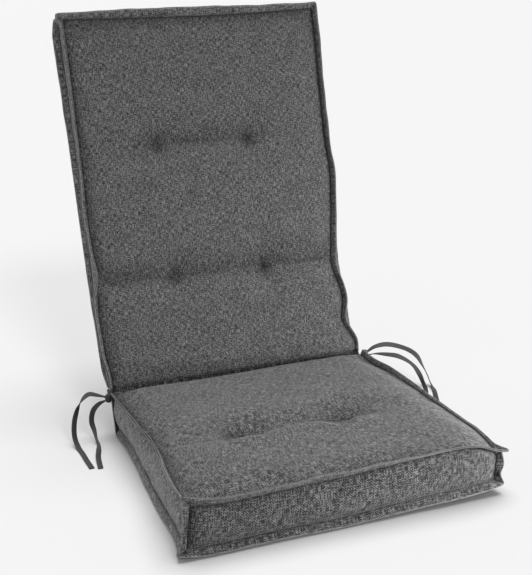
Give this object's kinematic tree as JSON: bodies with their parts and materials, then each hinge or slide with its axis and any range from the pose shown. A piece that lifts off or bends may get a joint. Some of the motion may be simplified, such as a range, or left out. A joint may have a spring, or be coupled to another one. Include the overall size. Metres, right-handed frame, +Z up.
{
  "type": "chair seat pad",
  "caption": "Tufted high-back chair cushion: a boxed seat section and a boxed back section folding on a sewn hinge line, with flanged seams and tie tapes.",
  "frame": {"origin": "middle of the seat section's flat underside, seam to seam", "axes": "+Z up from the underside, +X across the cushion, to the right in a front view, which is also how left and right are meant in the names; -Y towards the seat's front edge, +Y towards the hinge line and the back section"},
  "size_m": [0.7269, 0.746, 0.7555],
  "materials": {
    "cover_fabric": "grey melange woven polyester with a coarse twill, matt",
    "foam": "open-cell polyurethane foam, cream",
    "fibre_wadding": "white polyester fibre",
    "thread": "waxed polyester thread, dark grey",
    "tape": "folded woven tape, charcoal, matt"
  },
  "bodies": {
    "seat": {"seat_top_panel": "cover_fabric", "seat_bottom_panel": "cover_fabric", "seat_front_boxing": "cover_fabric", "seat_rear_boxing": "cover_fabric", "seat_left_boxing": "cover_fabric", "seat_right_boxing": "cover_fabric", "seat_foam_core": "foam", "seat_top_wadding": "fibre_wadding", "seat_bottom_wadding": "fibre_wadding", "seat_left_tuft_cord": "thread", "seat_right_tuft_cord": "thread", "seat_hinge_tape_leaf": "tape", "left_tie_tab": "tape", "right_tie_tab": "tape", "left_tie_outer": "tape", "left_tie_inner": "tape", "right_tie_outer": "tape", "right_tie_inner": "tape"},
    "back": {"back_front_panel": "cover_fabric", "back_rear_panel": "cover_fabric", "back_top_boxing": "cover_fabric", "back_bottom_boxing": "cover_fabric", "back_left_boxing": "cover_fabric", "back_right_boxing": "cover_fabric", "back_foam_core": "foam", "back_front_wadding": "fibre_wadding", "back_rear_wadding": "fibre_wadding", "back_lower_left_tuft_cord": "thread", "back_lower_right_tuft_cord": "thread", "back_upper_left_tuft_cord": "thread", "back_upper_right_tuft_cord": "thread", "back_hinge_tape_leaf": "tape"}
  },
  "joints": [
    {"name": "back_fold", "type": "hinge", "parent": "seat", "child": "back", "pos_m": [0, 0.2425, 0.088], "axis": [1, 0, 0], "range_deg": [-73, 107]}
  ]
}
